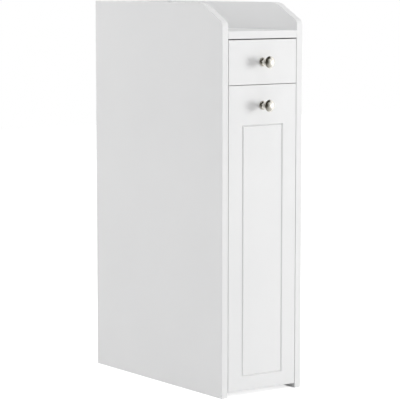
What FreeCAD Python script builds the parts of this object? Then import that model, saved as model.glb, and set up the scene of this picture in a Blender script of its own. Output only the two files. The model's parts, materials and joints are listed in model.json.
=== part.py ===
import FreeCAD, Part
import math
import os
from FreeCAD import Vector

# A narrow free-standing bathroom cabinet: a deep box of painted boards with a low gallery round its top
# shelf, one small drawer, and one tall pull-out rack with three trays behind a grooved front.
# The drawer and the rack run on pairs of folded steel runners with nylon rollers.
# Millimetres. X runs to the right seen from the front, Y to the rear and Z up. The origin is on the floor
# at the centre of the outline, with the knobs counted in.

# Carcass
cabinet_width = 200.0
cabinet_depth = 450.0
cabinet_height = 780.0
board = 15.0
arris = 1.0
gallery_height = 55.0
shoulder_drop = 37.0
shoulder_run = 69.0
shoulder_low_radius = 13.0
shoulder_top_radius = 60.0
base_clearance = 25.0
thin_board = 3.0
back_groove_depth = 6.0
back_inset = 8.0
groove_fit = 0.2

# Fronts
reveal = 1.0
shelf_gap = 2.0
toe_gap = 10.0
drawer_front_height = 88.0
front_setback = 2.0
groove_width = 4.0
groove_depth = 2.4
groove_side_margin = 33.0
groove_top_margin = 77.5
groove_bottom_margin = 28.0
rack_knob_drop = 40.5

# Knobs
knob_projection = 28.0
knob_base_radius = 9.0
knob_base_height = 1.6
knob_base_round = 0.8
knob_neck_radius = 4.0
knob_foot_sag = 1.6
knob_neck_at = 9.0
knob_flare_sag = 1.6
knob_head_radius = 12.5
knob_rim_at = 22.5
knob_rim_round = 0.8
knob_thread_radius = 2.0
knob_thread_depth = 9.0
knob_screw_head_radius = 4.0
knob_screw_head_height = 2.4

# Drawer box and rack trays
side_board = 12.0
drawer_headroom = 15.0
box_floor_rise = 9.0
guard_height = 60.0
rack_back_gap = 20.0
back_screw_margin = 14.0
tray_screw_inset = 100.0

# Runners
runner_rear_gap = 24.0
runner_hold = 100.0
runner_gap = 12.5
runner_lift = 2.0
rail_steel = 1.2
bend_radius = 0.5
lip_height = 4.0
top_flange = 7.0
carry_rise = 2.0
carry_width = 10.0
roller_radius = 8.5
roller_inset = 12.0
roller_rim = 2.4
roller_sink = 1.0
roller_bevel = 0.6
entry_length = 24.0
running_gap = 0.3
free_gap = 1.1
lip_gap = 1.7
head_gap = 0.9
pin_radius = 2.5
pin_collar_radius = 4.0
pin_head = 0.6
pin_clearance = 0.05
bead_length = 4.0
bead_height = 2.5

# Fixings
drill_clearance = 0.1
cam_radius = 7.5
small_cam_radius = 6.0
cam_cover = 2.5
cam_reach = 24.0
cam_inset = 50.0
cam_slot_width = 1.4
cam_slot_depth = 1.5
recess_width = 0.7
recess_depth = 1.0
bolt_thread_radius = 2.5
bolt_shank_radius = 3.0
bolt_neck_radius = 2.0
bolt_head_length = 2.0
host_cover = 4.0
dowel_radius = 4.0
dowel_spacing = 32.0
dowel_reach = 20.0
dowel_end_gap = 1.0
screw_radius = 1.75
screw_head_radius = 3.0
screw_head_height = 0.8
screw_inset = 37.0
long_screw_reach = 25.0

# Planes and levels that follow from the sizes above
inner_half = cabinet_width / 2 - board
front_y = (knob_projection - cabinet_depth) / 2
rear_y = front_y + cabinet_depth
front_back_y = front_y + board
carcass_y = front_back_y + front_setback
back_y = rear_y - back_inset - thin_board
shelf_top = cabinet_height - gallery_height
shelf_bottom = shelf_top - board
drawer_front_top = shelf_bottom - shelf_gap
drawer_front_bottom = drawer_front_top - drawer_front_height
rack_front_top = drawer_front_bottom - reveal
divider_bottom = rack_front_top + (reveal - board) / 2
divider_top = divider_bottom + board
bottom_top = base_clearance + board
front_half = inner_half - reveal

runner_length = back_y - front_back_y - runner_rear_gap
runner_travel = runner_length - runner_hold
box_half = inner_half - runner_gap
box_inner_half = box_half - side_board
box_rear_y = front_back_y + runner_length
track_width = runner_gap - rail_steel - lip_gap
roller_width = track_width - 2 * rail_steel - 2 * running_gap - pin_head - free_gap
rear_roller_level = rail_steel + running_gap + roller_radius
front_roller_level = rail_steel + free_gap + roller_radius
cover_level = front_roller_level + roller_radius + running_gap
rail_height = cover_level + rail_steel + free_gap + rail_steel
carry_top = carry_rise + rail_steel
front_roller_y = carcass_y + roller_inset
rear_roller_y = box_rear_y - roller_inset
drawer_level = divider_top + runner_lift
guard_rear_y = box_rear_y - side_board
drawer_side_top = shelf_bottom - drawer_headroom
drawer_floor = drawer_level + carry_top + box_floor_rise
drawer_knob_level = (drawer_front_top + drawer_front_bottom) / 2
rack_knob_level = rack_front_top - rack_knob_drop

TINY = 1e-6
LEFT = -1
RIGHT = 1
HAND_NAMES = {LEFT: "left", RIGHT: "right"}
TRAY_NAMES = ["lower", "middle", "upper"]
INTO_X = Vector(1, 0, 0)
REARWARD = Vector(0, 1, 0)
UPWARD = Vector(0, 0, 1)

tray_pitch = (divider_bottom - bottom_top) / len(TRAY_NAMES)
tray_levels = {word: bottom_top + runner_lift + step * tray_pitch for step, word in enumerate(TRAY_NAMES)}

pieces = {}
cuts = {}


def add(name, *solids):
    """Puts solids into the named piece."""
    pieces.setdefault(name, []).extend(solids)


def drill(name, *tools):
    """Keeps tools that are cut from the named piece when it is written."""
    cuts.setdefault(name, []).extend(tools)


def block(x0, x1, y0, y1, z0, z1):
    corner = Vector(min(x0, x1), min(y0, y1), min(z0, z1))
    return Part.makeBox(abs(x1 - x0), abs(y1 - y0), abs(z1 - z0), corner)


def rod(start, along, length, radius):
    return Part.makeCylinder(radius, length, start, along)


def outline(corners):
    """A flat face through corners, each a point and a radius. A corner with a radius becomes an arc."""
    starts = []
    ends = []
    arcs = []
    for index, (point, radius) in enumerate(corners):
        before = (corners[index - 1][0] - point).normalize()
        after = (corners[(index + 1) % len(corners)][0] - point).normalize()
        half = before.getAngle(after) / 2
        reach = radius / math.tan(half)
        starts.append(point + before * reach)
        ends.append(point + after * reach)
        inward = (before + after).normalize() if radius else Vector()
        arcs.append(point + inward * (radius / math.sin(half) - radius))
    edges = []
    for index, (point, radius) in enumerate(corners):
        if radius:
            edges.append(Part.Arc(starts[index], arcs[index], ends[index]).toShape())
        edges.append(Part.LineSegment(ends[index], starts[(index + 1) % len(corners)]).toShape())
    return Part.Face(Part.Wire(edges))


def eased(solid, chosen):
    """Rounds the chosen edges of a painted board."""
    return solid.makeFillet(arris, [edge for edge in solid.Edges if chosen(edge.BoundBox)])


def runs_along_x(bounds):
    return bounds.YLength < TINY and bounds.ZLength < TINY


def runs_along_y(bounds):
    return bounds.XLength < TINY and bounds.ZLength < TINY


def top_eased(solid, top):
    """Rounds the upper edges of a board that stands across the cabinet."""
    return eased(solid, lambda bounds: runs_along_x(bounds) and bounds.ZMin > top - TINY)


def carried_board(hand, rear, low, high):
    """A side of the drawer or a tray, eased along its top and where the rail's bend passes under it."""
    side = block(hand * box_half, hand * box_inner_half, front_back_y, rear, low, high)

    def soft(bounds):
        under = bounds.ZMax < low + TINY and abs(bounds.XMin) > box_inner_half + TINY
        return runs_along_y(bounds) and (bounds.ZMin > high - TINY or under)

    return eased(side, soft)


# Fixings

def cross_slot(face, out, way, radius, width, depth):
    """The two bars of a cross for the screwdriver, half as long as the round face that they are cut into."""
    bars = []
    for along in (way, way.cross(out)):
        side = out.cross(along) * (width / 2)
        end = along * (radius / 2)
        points = [face - end - side, face + end - side, face + end + side, face - end + side]
        bars.append(outline([(point, 0) for point in points]).extrude(out * -depth))
    return bars


def screw_recess(face, along, radius):
    """The cross in a screw's head, for a screw that points along a direction."""
    way = REARWARD if abs(along.dot(INTO_X)) > TINY else INTO_X
    return cross_slot(face, along * -1, way, radius, recess_width, recess_depth)


def add_cam_lock(group, host, guest, root, along, out, host_board, guest_board, radius):
    """A cam lock: a bolt in the host's face at root, and a disc in the guest's open face that draws on it."""
    thread = host_board - host_cover
    depth = guest_board - cam_cover
    centre = root + along * cam_reach
    bolt = rod(root - along * thread, along, thread, bolt_thread_radius)
    bolt = bolt.fuse(rod(root, along, cam_reach - 2 * bolt_head_length, bolt_shank_radius))
    bolt = bolt.fuse(rod(root, along, cam_reach, bolt_neck_radius))
    bolt = bolt.fuse(rod(centre, along, bolt_head_length, bolt_shank_radius))
    bolt = bolt.removeSplitter()
    bore_length = cam_reach + bolt_head_length + drill_clearance
    bore = rod(root, along, bore_length, bolt_shank_radius + drill_clearance)
    face = centre + out * (guest_board / 2)
    slots = cross_slot(face, out, along, radius, cam_slot_width, cam_slot_depth)
    disc = rod(face, out * -1, depth, radius).cut([bore] + slots)
    add(group + "_discs", disc)
    add(group + "_bolts", bolt)
    deep = thread + drill_clearance
    drill(host, rod(root - along * deep, along, deep, bolt_thread_radius + drill_clearance))
    drill(guest, bore, rod(face, out * -1, depth + drill_clearance, radius + drill_clearance))


def add_dowel(host, guest, root, along, seat):
    """A glued wooden dowel, seated in the host's face and reaching into the guest's end."""
    add("wood_dowels", rod(root - along * seat, along, seat + dowel_reach, dowel_radius))
    start = root - along * (seat + dowel_end_gap)
    hole = rod(start, along, seat + dowel_reach + 2 * dowel_end_gap, dowel_radius + drill_clearance)
    drill(host, hole)
    drill(guest, hole)


def add_wafer_screw(group, holders, seat, along, length):
    """A flat-headed screw whose head lies on seat, with a hole through or into each holder."""
    face = seat - along * screw_head_height
    head = rod(face, along, screw_head_height, screw_head_radius)
    screw = head.fuse(rod(seat, along, length, screw_radius))
    add(group, screw.cut(screw_recess(face, along, screw_head_radius)))
    hole = rod(seat, along, length + drill_clearance, screw_radius + drill_clearance)
    for holder in holders:
        drill(holder, hole)


def add_sunk_screw(group, holders, surface, along, length):
    """A countersunk screw, flush with the surface of the first holder."""
    sink = screw_head_radius - screw_radius
    head = Part.makeCone(screw_head_radius, screw_radius, sink, surface, along)
    screw = head.fuse(rod(surface, along, length, screw_radius))
    add(group, screw.cut(screw_recess(surface, along, screw_head_radius)))
    wide = screw_head_radius + drill_clearance
    mouth = Part.makeCone(wide, screw_radius + drill_clearance, sink, surface, along)
    hole = mouth.fuse(rod(surface, along, length + drill_clearance, screw_radius + drill_clearance))
    for holder in holders:
        drill(holder, hole)


# Carcass

def back_sheet(margin, play):
    """A sheet in the back panel's place, larger than the opening by margin and thicker by play each side."""
    half = inner_half + margin
    rear = back_y + thin_board + play
    return block(-half, half, back_y - play, rear, bottom_top - margin, shelf_bottom + margin)


def back_groove():
    return back_sheet(back_groove_depth, groove_fit)


def side_panel(hand):
    """A full-depth side with its upper front corner cut to a soft shoulder, and a groove for the back."""
    outer = hand * cabinet_width / 2
    corners = [
        (Vector(outer, front_y, 0), 0),
        (Vector(outer, rear_y, 0), 0),
        (Vector(outer, rear_y, cabinet_height), 0),
        (Vector(outer, front_y + shoulder_run, cabinet_height), shoulder_top_radius),
        (Vector(outer, front_y, cabinet_height - shoulder_drop), shoulder_low_radius),
    ]
    panel = outline(corners).extrude(Vector(-hand * board, 0, 0))
    panel = eased(panel, lambda bounds: bounds.XLength < TINY and bounds.ZMax > TINY)
    return panel.cut(back_groove())


def top_shelf():
    shelf = block(-inner_half, inner_half, front_y, rear_y, shelf_bottom, shelf_top)
    shelf = eased(shelf, lambda bounds: runs_along_x(bounds) and bounds.YMax < front_y + TINY)
    return shelf.cut(back_groove())


def gallery_board():
    gallery = block(-inner_half, inner_half, rear_y - board, rear_y, shelf_top, cabinet_height)
    return top_eased(gallery, cabinet_height)


def build_carcass():
    for hand, word in HAND_NAMES.items():
        add(word + "_side_panel", side_panel(hand))
    add("top_shelf", top_shelf())
    add("gallery_board", gallery_board())
    add("divider_board", block(-inner_half, inner_half, carcass_y, back_y, divider_bottom, divider_top))
    bottom = block(-inner_half, inner_half, carcass_y, rear_y, base_clearance, bottom_top)
    add("bottom_board", bottom.cut(back_groove()))
    add("back_panel", back_sheet(back_groove_depth - groove_fit, 0))


def join_carcass():
    """Cam locks and dowels at both ends of each board."""
    levels = {
        "top_shelf": (shelf_bottom + board / 2, front_y),
        "divider_board": (divider_bottom + board / 2, carcass_y),
        "bottom_board": (base_clearance + board / 2, carcass_y),
    }
    for hand, word in HAND_NAMES.items():
        side = word + "_side_panel"
        along = INTO_X * -hand
        for guest, (level, start_y) in levels.items():
            for end_y, inward in ((start_y + cam_inset, 1), (back_y - cam_inset, -1)):
                root = Vector(hand * inner_half, end_y, level)
                add_cam_lock("cam", side, guest, root, along, UPWARD * -1, board, board, cam_radius)
                beside = root + REARWARD * (inward * dowel_spacing)
                add_dowel(side, guest, beside, along, board - host_cover - dowel_end_gap)
        middle = shelf_top + gallery_height / 2
        root = Vector(hand * inner_half, rear_y - board / 2, middle)
        add_cam_lock("cam", side, "gallery_board", root, along, REARWARD, board, board, cam_radius)
        foot = Vector(hand * (inner_half - cam_inset), rear_y - board / 2, shelf_top)
        add_dowel("top_shelf", "gallery_board", foot, UPWARD, board - back_groove_depth - 2 * dowel_end_gap)


# Runners

def lane(hand, distance):
    """The X of a plane in the runner's lane, by its distance from the carcass side."""
    return hand * (inner_half - distance)


def rail(hand, level, start_y, length, section):
    """A folded rail: its section, each corner a distance, a height and a radius, run along Y."""
    corners = [(Vector(lane(hand, d), start_y, level + h), radius) for d, h, radius in section]
    return outline(corners).extrude(REARWARD * length)


def fixed_rail(hand, level):
    """The carcass rail: a lipped track for the rear roller, a cover flange open at the front, a stop bead."""
    steel = rail_steel
    outer = bend_radius + steel
    section = [
        (0, 0, outer),
        (track_width, 0, outer),
        (track_width, lip_height, 0),
        (track_width - steel, lip_height, 0),
        (track_width - steel, steel, bend_radius),
        (steel, steel, bend_radius),
        (steel, rail_height - steel, bend_radius),
        (top_flange, rail_height - steel, 0),
        (top_flange, rail_height, 0),
        (0, rail_height, outer),
    ]
    made = rail(hand, level, carcass_y, runner_length, section)
    chord = math.sqrt(roller_radius ** 2 - (roller_radius + running_gap - bead_height) ** 2)
    bead_rear = rear_roller_y - runner_travel - chord - running_gap
    near = lane(hand, outer)
    far = lane(hand, track_width - outer)
    bead_top = level + steel + bead_height
    bead = block(near, far, bead_rear - bead_length, bead_rear, level + steel / 2, bead_top)
    entry = block(lane(hand, outer), lane(hand, top_flange), carcass_y, carcass_y + entry_length,
                  level + rail_height - outer, level + rail_height)
    return made.fuse(bead).removeSplitter().cut(entry)


def moving_rail(hand, level):
    """The rail on a drawer or tray: a flange over the front roller, a web, and a flange under the box."""
    steel = rail_steel
    outer = bend_radius + steel
    cover_start = steel + screw_head_height + head_gap
    section = [
        (cover_start, cover_level, 0),
        (runner_gap - steel, cover_level, bend_radius),
        (runner_gap - steel, carry_rise, outer),
        (runner_gap + carry_width, carry_rise, 0),
        (runner_gap + carry_width, carry_top, 0),
        (runner_gap, carry_top, bend_radius),
        (runner_gap, cover_level + steel, outer),
        (cover_start, cover_level + steel, 0),
    ]
    made = rail(hand, level, front_back_y, runner_length, section)
    low = level + carry_rise
    notch = block(lane(hand, runner_gap), lane(hand, runner_gap + carry_width), guard_rear_y, box_rear_y,
                  low, low + rail_steel + bend_radius)
    return made.cut(notch)


def roller(hand, near, y, z):
    """A moulded roller with a sunk web on both faces. near is its face nearest the carcass side."""
    bore = pin_radius + pin_clearance
    hub = pin_collar_radius
    rim = roller_radius - roller_rim
    bevel = roller_bevel
    sink = roller_sink
    far = near + roller_width
    section = [
        (near, bore), (near, hub), (near + sink, hub), (near + sink, rim), (near, rim),
        (near, roller_radius - bevel), (near + bevel, roller_radius),
        (far - bevel, roller_radius), (far, roller_radius - bevel),
        (far, rim), (far - sink, rim), (far - sink, hub), (far, hub), (far, bore),
    ]
    corners = [(Vector(lane(hand, d), y, z + r), 0) for d, r in section]
    return outline(corners).revolve(Vector(0, y, z), INTO_X, 360)


def add_front_roller(hand, name, rail_name, level):
    """The roller at the front of a carcass rail, on a pin riveted to the rail's web."""
    z = level + front_roller_level
    near = rail_steel + running_gap
    add(name + "_front_rollers", roller(hand, near, front_roller_y, z))
    along = INTO_X * -hand
    root = Vector(lane(hand, 0), front_roller_y, z)
    reach = near + roller_width + running_gap
    pin = rod(root, along, reach + pin_head, pin_radius)
    pin = pin.fuse(rod(root + along * reach, along, pin_head, pin_collar_radius))
    add("cabinet_roller_pins", pin)
    drill(rail_name, rod(root, along, rail_steel, pin_radius + pin_clearance))


def add_rear_roller(hand, name, rail_name, level):
    """The roller at the rear of a moving rail, on a collared pin riveted to the rail's web."""
    z = level + rear_roller_level
    far = track_width - rail_steel - running_gap
    near = far - roller_width
    add(name + "_rear_rollers", roller(hand, near, rear_roller_y, z))
    along = INTO_X * hand
    root = Vector(lane(hand, runner_gap), rear_roller_y, z)
    reach = runner_gap - near + running_gap
    pin = rod(root, along, reach + pin_head, pin_radius)
    pin = pin.fuse(rod(root + along * reach, along, pin_head, pin_radius + running_gap))
    collar = runner_gap - rail_steel - far - running_gap
    pin = pin.fuse(rod(root + along * rail_steel, along, collar, pin_collar_radius))
    add(name.split("_")[0] + "_roller_pins", pin.removeSplitter())
    drill(rail_name, rod(root, along, rail_steel, pin_radius + pin_clearance))


def add_runner_pair(name, level, holders):
    """One runner on each side. holders gives the board that carries the moving rail, by hand."""
    owner = name.split("_")[0]
    ends = (screw_inset, runner_length / 2, runner_length - screw_inset)
    for hand, word in HAND_NAMES.items():
        fixed_name = name + "_cabinet_rail_" + word
        moving_name = name + "_rail_" + word
        add(fixed_name, fixed_rail(hand, level))
        add(moving_name, moving_rail(hand, level))
        add_front_roller(hand, name, fixed_name, level)
        add_rear_roller(hand, name, moving_name, level)
        outward = INTO_X * hand
        fixed_z = level + cover_level - screw_head_radius - drill_clearance
        moving_z = level + carry_top + box_floor_rise / 2
        for end in ends:
            seat = Vector(lane(hand, rail_steel), carcass_y + end, fixed_z)
            side = word + "_side_panel"
            add_wafer_screw("cabinet_rail_screws", [fixed_name, side], seat, outward, board - host_cover)
            seat = Vector(lane(hand, runner_gap - rail_steel), front_back_y + end, moving_z)
            reach = side_board - host_cover
            add_wafer_screw(owner + "_rail_screws", [moving_name, holders[hand]], seat, outward * -1, reach)


# Knobs

def add_knob(name, host, level):
    """A turned mushroom knob on the front's face and the machine screw that holds it from behind."""
    def at(out, radius):
        return Vector(0, front_y - out, level + radius)

    def arc(first, last, sag):
        """An arc in the knob's outline that bulges outward by sag, or inward where sag is negative."""
        way = (last - first).normalize()
        middle = (first + last) * 0.5 + Vector(0, way.z, -way.y) * sag
        return Part.Arc(first, middle, last).toShape()

    def ring(solid, point):
        """The round edge of a turned solid that passes through a point of its outline."""
        spot = Part.Vertex(point)
        return [edge for edge in solid.Edges if edge.Closed and edge.distToShape(spot)[0] < TINY]

    dome = knob_projection - knob_rim_at
    ball = (knob_head_radius ** 2 + dome ** 2) / (2 * dome)
    half_chord = math.hypot(knob_head_radius, dome) / 2
    dome_sag = ball - math.sqrt(ball ** 2 - half_chord ** 2)
    base = at(0, knob_base_radius)
    foot = at(knob_base_height, knob_base_radius)
    neck = at(knob_neck_at, knob_neck_radius)
    rim = at(knob_rim_at, knob_head_radius)
    crown = at(knob_projection, 0)
    edges = [
        Part.LineSegment(at(0, 0), base).toShape(),
        Part.LineSegment(base, foot).toShape(),
        arc(foot, neck, -knob_foot_sag),
        arc(neck, rim, -knob_flare_sag),
        arc(rim, crown, dome_sag),
        Part.LineSegment(crown, at(0, 0)).toShape(),
    ]
    knob = Part.Face(Part.Wire(edges)).revolve(at(0, 0), REARWARD, 360)
    knob = knob.makeFillet(knob_rim_round, ring(knob, rim))
    knob = knob.makeFillet(knob_base_round, ring(knob, foot))
    outward = REARWARD * -1
    seat = Vector(0, front_back_y, level)
    length = board + knob_thread_depth
    head = rod(seat, REARWARD, knob_screw_head_height, knob_screw_head_radius)
    screw = head.fuse(rod(seat, outward, length, knob_thread_radius))
    recess = screw_recess(seat + REARWARD * knob_screw_head_height, outward, knob_screw_head_radius)
    hole = rod(seat, outward, length + drill_clearance, knob_thread_radius + drill_clearance)
    add(name, knob.cut(hole))
    add(name + "_screw", screw.cut(recess))
    drill(host, hole)


# Drawer

def inset_front(bottom, top):
    panel = block(-front_half, front_half, front_y, front_back_y, bottom, top)
    return eased(panel, lambda bounds: bounds.YMax < front_y + TINY)


def build_drawer():
    underside = drawer_level + carry_top
    add("drawer_front", inset_front(drawer_front_bottom, drawer_front_top))
    slot_half = box_half - side_board / 2
    floor_half = slot_half - groove_fit
    slot = block(-slot_half, slot_half, front_back_y - side_board / 2, box_rear_y,
                 drawer_floor - groove_fit, drawer_floor + thin_board + groove_fit)
    middle = (underside + drawer_side_top) / 2
    back_bottom = drawer_floor + thin_board + groove_fit
    for hand, word in HAND_NAMES.items():
        name = "drawer_side_" + word
        add(name, carried_board(hand, box_rear_y, underside, drawer_side_top))
        drill(name, slot)
        root = Vector(hand * (box_half - side_board / 2), front_back_y, middle)
        add_cam_lock("drawer_cam", "drawer_front", name, root, REARWARD, INTO_X * -hand,
                     board, side_board, small_cam_radius)
        for z in (back_bottom + back_screw_margin, drawer_side_top - back_screw_margin):
            surface = Vector(hand * box_half, box_rear_y - side_board / 2, z)
            add_sunk_screw("drawer_back_screws", [name, "drawer_back"], surface, INTO_X * -hand,
                           long_screw_reach + side_board / 2)
    drill("drawer_front", slot)
    back = block(-box_inner_half, box_inner_half, guard_rear_y, box_rear_y, back_bottom, drawer_side_top)
    add("drawer_back", top_eased(back, drawer_side_top))
    floor_start = front_back_y - side_board / 2 + groove_fit
    add("drawer_floor", block(-floor_half, floor_half, floor_start, box_rear_y,
                              drawer_floor, drawer_floor + thin_board))
    add_knob("drawer_knob", "drawer_front", drawer_knob_level)
    holders = {hand: "drawer_side_" + word for hand, word in HAND_NAMES.items()}
    add_runner_pair("drawer", drawer_level, holders)


# Pull-out rack

def vee_groove(corners):
    """What a pointed cutter takes out of a front on its way round the corners and back to the start."""
    half = groove_width / 2
    tools = []
    for index, start in enumerate(corners):
        run = corners[(index + 1) % len(corners)] - start
        across = run.cross(REARWARD).normalize() * half
        section = outline([(start - across, 0), (start + across, 0), (start + REARWARD * groove_depth, 0)])
        tools.append(section.extrude(run))
        tools.append(Part.makeCone(half, 0, groove_depth, start, REARWARD))
    return tools


def rack_front():
    """The tall front with a pointed groove routed round its field."""
    panel = inset_front(toe_gap, rack_front_top)
    half = front_half - groove_side_margin - groove_width / 2
    low = toe_gap + groove_bottom_margin + groove_width / 2
    high = rack_front_top - groove_top_margin - groove_width / 2
    places = ((-half, low), (half, low), (half, high), (-half, high))
    return panel.cut(vee_groove([Vector(x, front_y, z) for x, z in places]))


def build_tray(word):
    """A shelf between two guard boards. Cam locks hold the guards to the front, and screws hold the rest."""
    underside = tray_levels[word] + carry_top
    shelf_name = "rack_" + word + "_shelf"
    add(shelf_name, block(-box_inner_half, box_inner_half, front_back_y, guard_rear_y,
                          underside, underside + side_board))
    top = underside + guard_height
    for hand, side in HAND_NAMES.items():
        name = "rack_" + word + "_guard_" + side
        add(name, carried_board(hand, guard_rear_y, underside, top))
        inward = INTO_X * -hand
        middle = hand * (box_half - side_board / 2)
        level = underside + (guard_height + side_board) / 2
        add_cam_lock("rack_cam", "rack_front", name, Vector(middle, front_back_y, level), REARWARD, inward,
                     board, side_board, small_cam_radius)
        reach = long_screw_reach + side_board / 2
        for y in (front_back_y + tray_screw_inset, guard_rear_y - tray_screw_inset):
            surface = Vector(hand * box_half, y, underside + side_board / 2)
            add_sunk_screw("rack_screws", [name, shelf_name], surface, inward, reach)
        surface = Vector(middle, box_rear_y, level)
        add_sunk_screw("rack_screws", ["rack_back", name], surface, REARWARD * -1, reach)


def build_rack():
    add("rack_front", rack_front())
    low = tray_levels["lower"] + carry_top
    high = divider_bottom - rack_back_gap
    back = block(-box_half, box_half, guard_rear_y, box_rear_y, low, high)
    add("rack_back", top_eased(back, high))
    for word in TRAY_NAMES:
        build_tray(word)
    add_knob("rack_knob", "rack_front", rack_knob_level)
    for word in ("lower", "upper"):
        holders = {hand: "rack_" + word + "_guard_" + side for hand, side in HAND_NAMES.items()}
        add_runner_pair("rack_" + word, tray_levels[word], holders)


def write_parts():
    os.makedirs("parts", exist_ok=True)
    for name, solids in pieces.items():
        tools = cuts.get(name)
        made = [solid.cut(tools) if tools else solid for solid in solids]
        shape = made[0] if len(made) == 1 else Part.makeCompound(made)
        shape.exportStep("parts/" + name + ".step")


build_carcass()
join_carcass()
build_drawer()
build_rack()
write_parts()
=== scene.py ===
import json
import math

import bpy
from mathutils import Euler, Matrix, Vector


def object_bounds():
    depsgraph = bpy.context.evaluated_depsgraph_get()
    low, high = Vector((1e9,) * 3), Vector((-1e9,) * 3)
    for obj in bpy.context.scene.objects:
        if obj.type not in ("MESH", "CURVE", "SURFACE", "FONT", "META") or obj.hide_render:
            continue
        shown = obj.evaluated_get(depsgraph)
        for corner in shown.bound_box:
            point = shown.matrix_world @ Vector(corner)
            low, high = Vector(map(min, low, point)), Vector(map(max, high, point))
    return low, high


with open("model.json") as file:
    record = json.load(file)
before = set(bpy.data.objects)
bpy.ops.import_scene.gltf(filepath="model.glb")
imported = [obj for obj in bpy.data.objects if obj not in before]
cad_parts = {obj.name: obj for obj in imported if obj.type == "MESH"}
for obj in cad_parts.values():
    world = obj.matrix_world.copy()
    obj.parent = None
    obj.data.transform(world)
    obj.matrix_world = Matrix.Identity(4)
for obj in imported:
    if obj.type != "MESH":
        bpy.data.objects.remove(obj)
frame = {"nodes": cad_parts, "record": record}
cad_low, cad_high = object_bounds()

# Finishes and light of a narrow white bathroom cabinet. Metres, in the frame of the solids: X to the right
# seen from the front, Y to the rear, Z up. Colours are red, green, blue and opacity.

# Camera: the sensor in millimetres, the turns in degrees
PHOTO_PIXELS = 400
FOCAL_PIXELS = 1932.0
SENSOR_WIDTH = 36.0
CAMERA_PLACE = Vector((-2.3413, -3.2210, 0.8256))
CAMERA_YAW = 36.017
CAMERA_TILT = 6.517
QUARTER_TURN = 90.0

# Light: the key from the right, the fill from the left rear, a window that only mirrors show, and the top
WHITE = (1, 1, 1, 1)
AMBIENT = 0.465
KEY_PLACE = Vector((3.55, -3.0, 0.55))
KEY_SIZE = 2.0
KEY_WATTS = 119.0
FILL_PLACE = Vector((-2.8, 1.2, 1.7))
FILL_SIZE = 2.5
FILL_WATTS = 28.0
WINDOW_PLACE = Vector((-2.8, -0.45, 1.7))
WINDOW_SIZE = 2.5
WINDOW_WATTS = 18.0
TOP_PLACE = Vector((0, -0.6, 3.0))
TOP_SIZE = 2.0
TOP_WATTS = 17.0

# Floor: a square about the origin, lifted to white where it is looked at
FLOOR_REACH = 6.0
FLOOR_COLOUR = (0.90, 0.90, 0.90, 1)
FLOOR_LIFT = 0.72

# Glowing sheets that only mirrors see, which paint reflections on the knobs: dark sheets round the camera
# (bounded by the ROOM places) for a painted dark reflection, a dim mat on the floor, and a bright card on
# the right for a painted highlight
ROOM_LEFT = -3.0
ROOM_LEFT_END = 1.2
ROOM_RIGHT = 1.8
ROOM_FRONT = -3.0
ROOM_REAR = 3.0
ROOM_HEIGHT = 3.0
# Painted dark reflection: the dim glow of the dark sheets that the knobs mirror
PAINTED_DARK_REFLECTION_GLOW = (0.045, 0.042, 0.032, 1)
# Across these X places the painted reflection fades from dark to bright
FADE_LEFT = -0.7
FADE_RIGHT = 1.5
MAT_RIGHT = 0.9
MAT_REAR = -0.35
MAT_LIFT = 0.002
# Painted reflection: the dim glow of the mat, which fades to the bright glow on the right
PAINTED_MAT_REFLECTION_GLOW = (0.12, 0.115, 0.10, 1)
CARD_PLACE = 2.4
CARD_FRONT = -1.6
CARD_REAR = 1.5
CARD_HEIGHT = 2.2
# Painted highlight: the card glows brighter than white though it is no lamp
PAINTED_HIGHLIGHT_GLOW = (1.35, 1.35, 1.30, 1)

# Finishes: the two tones between which each colour wanders
LACQUER_TONES = (0.855, 0.857, 0.860, 1), (0.875, 0.876, 0.877, 1)
FIBRE_TONES = (0.30, 0.19, 0.11, 1), (0.42, 0.29, 0.18, 1)
PAINT_TONES = (0.82, 0.82, 0.82, 1), (0.85, 0.85, 0.85, 1)
NICKEL_TONES = (0.68, 0.66, 0.62, 1), (0.74, 0.72, 0.68, 1)
EPOXY_TONES = (0.80, 0.80, 0.78, 1), (0.85, 0.85, 0.83, 1)
NYLON_TONES = (0.74, 0.74, 0.70, 1), (0.84, 0.84, 0.80, 1)
ZINC_TONES = (0.66, 0.68, 0.72, 1), (0.74, 0.73, 0.68, 1)
BEECH_TONES = (0.55, 0.38, 0.22, 1), (0.72, 0.55, 0.36, 1)

# Noise values lie nearly all between these two
NOISE_LOW = 0.3
NOISE_HIGH = 0.7

# The painted face of thin board looks forward or up
PAINTED_WAY = (0, -1, 1)
PAINTED_LIMIT = 0.5

# The middle of a piece whose box runs from nought to one, and how fine the dowels' grain is each way
PIECE_MIDDLE = (0.5, 0.5, 0.5)
BEECH_GRAIN = (30, 600, 600)


# Nodes

def material(name):
    """A new node material, with its node tree and its shader."""
    made = bpy.data.materials.new(name)
    made.use_nodes = True
    tree = made.node_tree
    return made, tree, tree.nodes["Principled BSDF"]


def feed(tree, socket, value):
    """Gives an input the output of another node, or a fixed value."""
    if isinstance(value, bpy.types.NodeSocket):
        tree.links.new(value, socket)
    else:
        socket.default_value = value


def put(tree, kind, **inputs):
    """A new node with some of its inputs fed."""
    made = tree.nodes.new(kind)
    for name, value in inputs.items():
        feed(tree, made.inputs[name.replace("_", " ")], value)
    return made


def reckon(tree, kind, operation, *operands):
    """A new node that works something out from its operands."""
    made = tree.nodes.new(kind)
    made.operation = operation
    for socket, operand in zip(made.inputs, operands):
        feed(tree, socket, operand)
    return made


def place(tree, kind="Object"):
    """The texture coordinates of a piece, which move with it."""
    return tree.nodes.new("ShaderNodeTexCoord").outputs[kind]


def noise(tree, where, scale, detail=2.0):
    """Soft noise, finer for a larger scale."""
    return put(tree, "ShaderNodeTexNoise", Vector=where, Scale=scale, Detail=detail).outputs["Fac"]


def between(tree, value, low, high):
    """Maps a noise value to a range of numbers."""
    made = put(tree, "ShaderNodeMapRange", Value=value, From_Min=NOISE_LOW, From_Max=NOISE_HIGH,
               To_Min=low, To_Max=high)
    return made.outputs["Result"]


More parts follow.
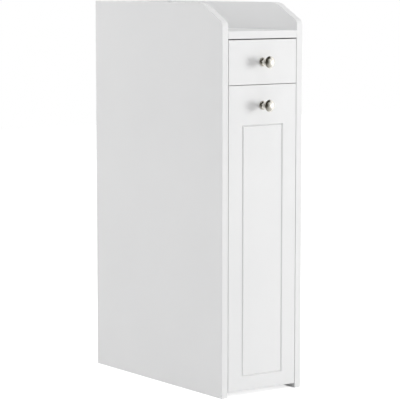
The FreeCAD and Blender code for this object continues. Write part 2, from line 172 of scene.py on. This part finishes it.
def blend(tree, share, first, second):
    """Mixes two colours by a share from nought to one."""
    made = tree.nodes.new("ShaderNodeMix")
    made.data_type = "RGBA"
    feed(tree, made.inputs["A"], first)
    feed(tree, made.inputs["B"], second)
    feed(tree, made.inputs["Factor"], share)
    return made.outputs["Result"]


def mottle(tree, value, tones):
    """A colour that wanders between two tones with a noise value."""
    return blend(tree, between(tree, value, low=0, high=1), *tones)


def polish(tree, shader, value, low, high):
    """A roughness that wanders between two numbers with a noise value."""
    tree.links.new(between(tree, value, low, high), shader.inputs["Roughness"])


def relief(tree, shader, height, strength, distance):
    """A bump on the shader, from a height."""
    made = put(tree, "ShaderNodeBump", Height=height, Strength=strength, Distance=distance)
    tree.links.new(made.outputs["Normal"], shader.inputs["Normal"])


# Finishes

def white_lacquer():
    """Satin lacquer with a faint mottle and the fine peel of a sprayed coat."""
    made, tree, shader = material("white_lacquer")
    where = place(tree)
    tree.links.new(mottle(tree, noise(tree, where, scale=5.0), LACQUER_TONES), shader.inputs["Base Color"])
    polish(tree, shader, noise(tree, where, scale=60.0), low=0.50, high=0.58)
    relief(tree, shader, noise(tree, where, scale=700.0), strength=0.08, distance=0.0002)
    return made


def hardboard():
    """Thin pressed board: white on the face that looks forward or up, bare brown fibre elsewhere."""
    made, tree, shader = material("hardboard")
    where = place(tree)
    fibre = noise(tree, where, scale=420.0, detail=6.0)
    brown = mottle(tree, fibre, FIBRE_TONES)
    paint = mottle(tree, noise(tree, where, scale=8.0), PAINT_TONES)
    facing = reckon(tree, "ShaderNodeVectorMath", "DOT_PRODUCT", place(tree, "Normal"), PAINTED_WAY)
    painted = reckon(tree, "ShaderNodeMath", "GREATER_THAN", facing.outputs["Value"], PAINTED_LIMIT)
    tree.links.new(blend(tree, painted.outputs["Value"], brown, paint), shader.inputs["Base Color"])
    polish(tree, shader, fibre, low=0.5, high=0.8)
    relief(tree, shader, fibre, strength=0.15, distance=0.0003)
    return made


def satin_nickel():
    """Plated metal with the fine rings of turning and a soft uneven polish."""
    made, tree, shader = material("satin_nickel")
    where = place(tree, "Generated")
    shader.inputs["Metallic"].default_value = 1
    tree.links.new(mottle(tree, noise(tree, where, scale=6.0), NICKEL_TONES), shader.inputs["Base Color"])
    polish(tree, shader, noise(tree, where, scale=20.0), low=0.18, high=0.24)
    centred = reckon(tree, "ShaderNodeVectorMath", "SUBTRACT", where, PIECE_MIDDLE).outputs["Vector"]
    rings = put(tree, "ShaderNodeTexWave", Vector=centred, Scale=14.0, Distortion=0.4, Detail=1.0)
    rings.wave_type = "RINGS"
    rings.rings_direction = "Y"
    relief(tree, shader, rings.outputs["Fac"], strength=0.02, distance=0.0002)
    return made


def epoxy_coat():
    """White powder coat on folded steel, with a coarser peel than the lacquer."""
    made, tree, shader = material("epoxy_coat")
    where = place(tree)
    tree.links.new(mottle(tree, noise(tree, where, scale=30.0), EPOXY_TONES), shader.inputs["Base Color"])
    polish(tree, shader, noise(tree, where, scale=90.0), low=0.25, high=0.34)
    relief(tree, shader, noise(tree, where, scale=500.0), strength=0.08, distance=0.0002)
    return made


def nylon():
    """Milky moulded nylon, greyed a little in clouds."""
    made, tree, shader = material("nylon")
    where = place(tree)
    cloud = noise(tree, where, scale=200.0, detail=4.0)
    tree.links.new(mottle(tree, cloud, NYLON_TONES), shader.inputs["Base Color"])
    polish(tree, shader, noise(tree, where, scale=300.0), low=0.42, high=0.55)
    shader.inputs["Subsurface Weight"].default_value = 0.15
    shader.inputs["Subsurface Scale"].default_value = 0.002
    relief(tree, shader, noise(tree, where, scale=900.0), strength=0.06, distance=0.0002)
    return made


def zinc_plate():
    """Bright zinc on fixings, with a faint blue and straw bloom."""
    made, tree, shader = material("zinc_plate")
    where = place(tree)
    shader.inputs["Metallic"].default_value = 1
    bloom = noise(tree, where, scale=350.0, detail=3.0)
    tree.links.new(mottle(tree, bloom, ZINC_TONES), shader.inputs["Base Color"])
    polish(tree, shader, noise(tree, where, scale=500.0), low=0.24, high=0.40)
    relief(tree, shader, noise(tree, where, scale=1500.0), strength=0.08, distance=0.0001)
    return made


def beech():
    """Plain beech, with its grain along the dowels."""
    made, tree, shader = material("beech")
    stretched = put(tree, "ShaderNodeMapping", Vector=place(tree), Scale=BEECH_GRAIN)
    grain = noise(tree, stretched.outputs["Vector"], scale=1.0, detail=5.0)
    tree.links.new(mottle(tree, grain, BEECH_TONES), shader.inputs["Base Color"])
    polish(tree, shader, grain, low=0.5, high=0.65)
    relief(tree, shader, grain, strength=0.2, distance=0.0002)
    return made


def dress_solids():
    """Gives each solid the finish of its slot."""
    finishes = {
        "white_board": white_lacquer(),
        "thin_board": hardboard(),
        "knob_metal": satin_nickel(),
        "runner_steel": epoxy_coat(),
        "roller_nylon": nylon(),
        "zinc_fixings": zinc_plate(),
        "dowel_wood": beech(),
    }
    for part in frame["record"]["subparts"]:
        slots = frame["nodes"][part["node"]].data.materials
        slots.clear()
        slots.append(finishes[part["material_slot"]])


# Stage

def bare_material(name):
    """A new node material without a shader, with its node tree and the input of its surface."""
    made, tree, shader = material(name)
    tree.nodes.remove(shader)
    return made, tree, tree.nodes["Material Output"].inputs["Surface"]


def seen_or_mirrored(tree):
    """One where a ray comes from the camera, a mirror or glass, and nought where it only carries light."""
    path = tree.nodes.new("ShaderNodeLightPath")
    total = path.outputs["Is Camera Ray"]
    for name in ("Is Glossy Ray", "Is Transmission Ray"):
        total = reckon(tree, "ShaderNodeMath", "MAXIMUM", total, path.outputs[name]).outputs["Value"]
    return total


def lit_or_seen(tree, lit, seen):
    """One shader for the light that a surface gives, and another for how it looks."""
    made = tree.nodes.new("ShaderNodeMixShader")
    for socket, source in zip(made.inputs, (seen_or_mirrored(tree), lit, seen)):
        tree.links.new(source, socket)
    return made.outputs["Shader"]


def build_world():
    """Even light from all round, in front of a white backdrop."""
    world = bpy.data.worlds.new("studio")
    bpy.context.scene.world = world
    world.use_nodes = True
    tree = world.node_tree
    light = tree.nodes["Background"]
    light.inputs["Color"].default_value = WHITE
    light.inputs["Strength"].default_value = AMBIENT
    backdrop = put(tree, "ShaderNodeBackground", Color=WHITE, Strength=1.0)
    both = lit_or_seen(tree, light.outputs["Background"], backdrop.outputs["Background"])
    tree.links.new(both, tree.nodes["World Output"].inputs["Surface"])


def upright(first, last, height):
    """The corners of a wall that stands on the floor between two places."""
    return [(*first, 0), (*last, 0), (*last, height), (*first, height)]


def level(left, right, front, rear, height):
    """The corners of a level sheet."""
    return [(left, front, height), (right, front, height), (right, rear, height), (left, rear, height)]


def sheet_object(name, sheets, coat):
    """An object made of flat sheets of one material."""
    corners = []
    faces = []
    for sheet in sheets:
        faces.append(range(len(corners), len(corners) + len(sheet)))
        corners += sheet
    mesh = bpy.data.meshes.new(name)
    mesh.from_pydata(corners, [], faces)
    mesh.materials.append(coat)
    made = bpy.data.objects.new(name, mesh)
    bpy.context.collection.objects.link(made)
    return made


def build_floor():
    """A pale floor that looks white where no deep shadow falls."""
    coat, tree, surface = bare_material("pale_floor")
    matt = put(tree, "ShaderNodeBsdfDiffuse", Color=FLOOR_COLOUR).outputs["BSDF"]
    glow = put(tree, "ShaderNodeEmission", Color=WHITE, Strength=FLOOR_LIFT).outputs["Emission"]
    lifted = tree.nodes.new("ShaderNodeAddShader")
    for socket, source in zip(lifted.inputs, (matt, glow)):
        tree.links.new(source, socket)
    tree.links.new(lit_or_seen(tree, matt, lifted.outputs["Shader"]), surface)
    ground = level(-FLOOR_REACH, FLOOR_REACH, -FLOOR_REACH, FLOOR_REACH, 0)
    floor = sheet_object("floor", [ground], coat)


def painted_reflection_card(name, sheets, glow, right_glow=None):
    """Glowing sheets that only mirrors see, which paint a reflection: one glow all over or one that fades
    to another on the right.
    """
    coat, tree, surface = bare_material(name)
    # The emission is a painted reflection, on sheets that light nothing and cast no shadow
    light = put(tree, "ShaderNodeEmission", Color=glow, Strength=1.0)
    if right_glow:
        across = put(tree, "ShaderNodeSeparateXYZ", Vector=place(tree)).outputs["X"]
        fade = put(tree, "ShaderNodeMapRange", Value=across, From_Min=FADE_LEFT, From_Max=FADE_RIGHT)
        tree.links.new(blend(tree, fade.outputs["Result"], glow, right_glow), light.inputs["Color"])
    tree.links.new(light.outputs["Emission"], surface)
    card = sheet_object(name, sheets, coat)
    for kind in ("camera", "diffuse", "transmission", "volume_scatter", "shadow"):
        setattr(card, "visible_" + kind, False)


def build_painted_reflections():
    """Painted reflections for the knobs: dark glowing sheets round the camera and a bright card on the
    right, seen only in mirrors.
    """
    # Painted dark reflection: dark glowing sheets at the left and overhead
    dark = [
        upright((ROOM_LEFT, ROOM_LEFT_END), (ROOM_LEFT, ROOM_FRONT), ROOM_HEIGHT),
        level(ROOM_LEFT, ROOM_RIGHT, ROOM_FRONT, ROOM_REAR, ROOM_HEIGHT),
    ]
    painted_reflection_card("painted_dark_reflection", dark, PAINTED_DARK_REFLECTION_GLOW)
    # Painted reflection that fades from dark in front to a painted highlight on the bright card at the
    # right
    front = [
        upright((ROOM_LEFT, ROOM_FRONT), (ROOM_RIGHT, ROOM_FRONT), ROOM_HEIGHT),
        upright((CARD_PLACE, CARD_FRONT), (CARD_PLACE, CARD_REAR), CARD_HEIGHT),
    ]
    painted_reflection_card("painted_front_reflection", front, PAINTED_DARK_REFLECTION_GLOW, PAINTED_HIGHLIGHT_GLOW)
    # Painted reflection of a dim mat on the floor, fading to bright on the right
    mat = level(ROOM_LEFT, MAT_RIGHT, ROOM_FRONT, MAT_REAR, MAT_LIFT)
    painted_reflection_card("painted_mat_reflection", [mat], PAINTED_MAT_REFLECTION_GLOW, PAINTED_HIGHLIGHT_GLOW)


def area_lamp(name, where, size, watts, aim, lights=True, mirrored=True):
    """A round lamp that looks at a place, and that lights matt surfaces, shows in mirrors, or both."""
    data = bpy.data.lights.new(name, "AREA")
    data.shape = "DISK"
    data.size = size
    data.energy = watts
    lamp = bpy.data.objects.new(name, data)
    lamp.location = where
    lamp.rotation_euler = (aim - where).to_track_quat("-Z", "Y").to_euler()
    lamp.visible_diffuse = lights
    lamp.visible_glossy = mirrored
    bpy.context.collection.objects.link(lamp)


def build_lamps():
    """The key looks at the fronts, the others at the middle of the cabinet."""
    front = Vector((0, cad_low.y, KEY_PLACE.z))
    middle = (cad_low + cad_high) / 2
    area_lamp("key", KEY_PLACE, KEY_SIZE, KEY_WATTS, front)
    area_lamp("fill", FILL_PLACE, FILL_SIZE, FILL_WATTS, middle, mirrored=False)
    area_lamp("window", WINDOW_PLACE, WINDOW_SIZE, WINDOW_WATTS, middle, lights=False)
    area_lamp("top", TOP_PLACE, TOP_SIZE, TOP_WATTS, middle, mirrored=False)


def build_camera():
    """The photo's view, from the front left and a little above."""
    data = bpy.data.cameras.new("camera")
    data.sensor_width = SENSOR_WIDTH
    data.lens = FOCAL_PIXELS * SENSOR_WIDTH / PHOTO_PIXELS
    camera = bpy.data.objects.new("camera", data)
    camera.location = CAMERA_PLACE
    camera.rotation_euler = Euler((math.radians(QUARTER_TURN - CAMERA_TILT), 0, math.radians(-CAMERA_YAW)))
    bpy.context.collection.objects.link(camera)
    bpy.context.scene.camera = camera


dress_solids()
build_world()
build_floor()
build_painted_reflections()
build_lamps()
build_camera()
bpy.context.scene.view_settings.view_transform = "Standard"
